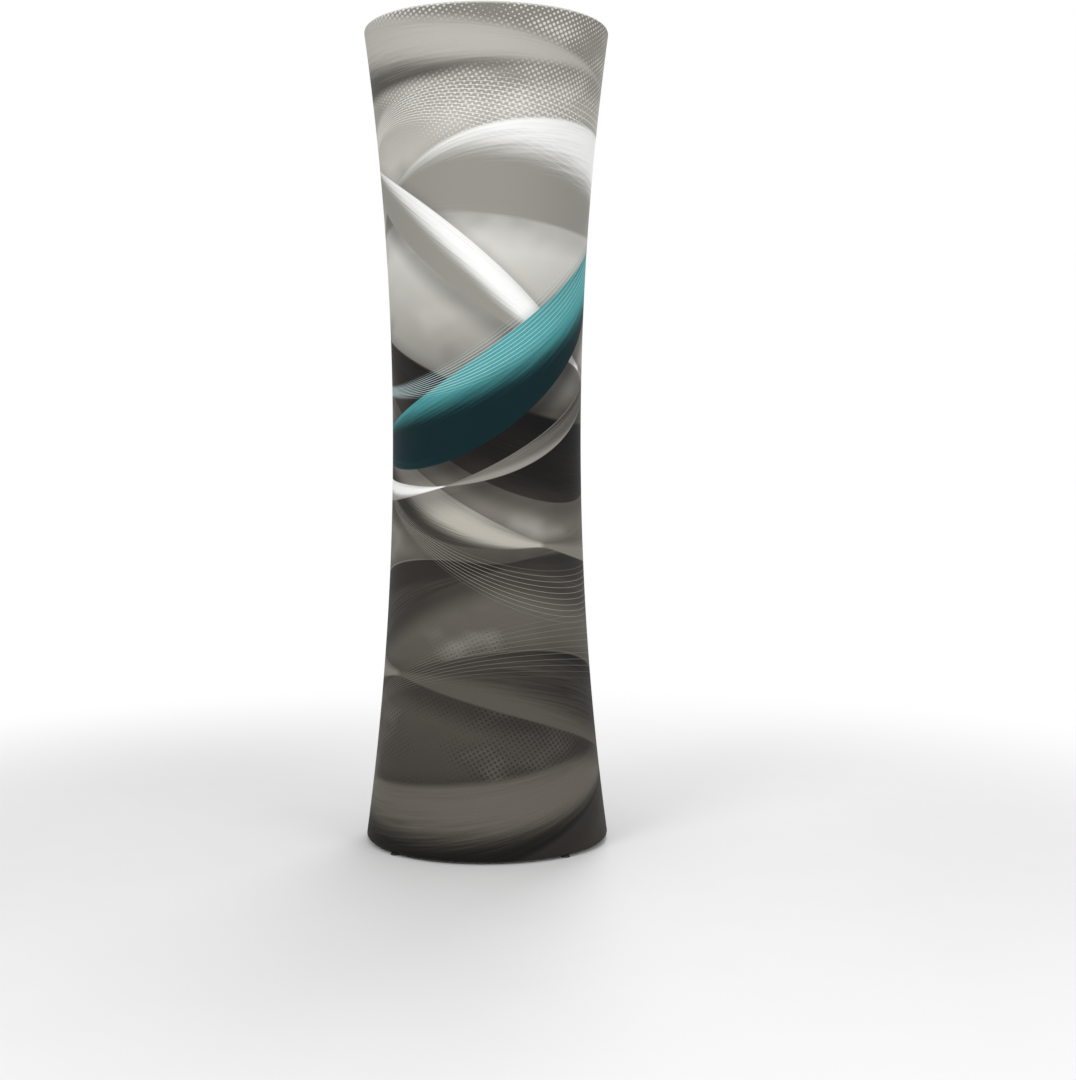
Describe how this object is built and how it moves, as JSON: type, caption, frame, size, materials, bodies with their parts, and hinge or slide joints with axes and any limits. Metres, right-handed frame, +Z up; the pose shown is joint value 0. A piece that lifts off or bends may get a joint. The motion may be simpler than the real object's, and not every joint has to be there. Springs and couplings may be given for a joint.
{
  "type": "fabric display tower",
  "caption": "Tall round display tower with a narrow waist: a bent tube frame under a stretch-fabric cover that is rolled over the end rings.",
  "frame": {"origin": "on the floor under the middle of the tower", "axes": "+Z up along the tower's axis, -Y towards the front, +Y towards the zip at the back, +X to the right seen from the front"},
  "size_m": [0.9144, 0.9144, 3.048],
  "materials": {
    "printed_fabric": "matte printed knit",
    "aluminium_tube": "satin anodised",
    "foot_rubber": "matte",
    "zip_tape_fabric": "woven tape",
    "zip_nylon": "moulded coil",
    "zip_metal": "black enamel"
  },
  "bodies": {
    "root": {"fabric_cover": "printed_fabric", "top_ring_back": "aluminium_tube", "top_ring_front": "aluminium_tube", "bottom_ring_front": "aluminium_tube", "bottom_ring_back": "aluminium_tube", "waist_arc_front": "aluminium_tube", "waist_arc_right": "aluminium_tube", "waist_arc_back": "aluminium_tube", "waist_arc_left": "aluminium_tube", "pole_front_right_middle": "aluminium_tube", "pole_front_right_upper": "aluminium_tube", "pole_front_right_lower": "aluminium_tube", "pole_back_right_middle": "aluminium_tube", "pole_back_right_upper": "aluminium_tube", "pole_back_right_lower": "aluminium_tube", "pole_back_left_middle": "aluminium_tube", "pole_back_left_upper": "aluminium_tube", "pole_back_left_lower": "aluminium_tube", "pole_front_left_middle": "aluminium_tube", "pole_front_left_upper": "aluminium_tube", "pole_front_left_lower": "aluminium_tube", "foot_front_right": "foot_rubber", "foot_back_right": "foot_rubber", "foot_back_left": "foot_rubber", "foot_front_left": "foot_rubber", "zip_tape": "zip_tape_fabric", "zip_coil": "zip_nylon", "zip_slider": "zip_metal", "zip_pull": "zip_metal"}
  },
  "joints": []
}
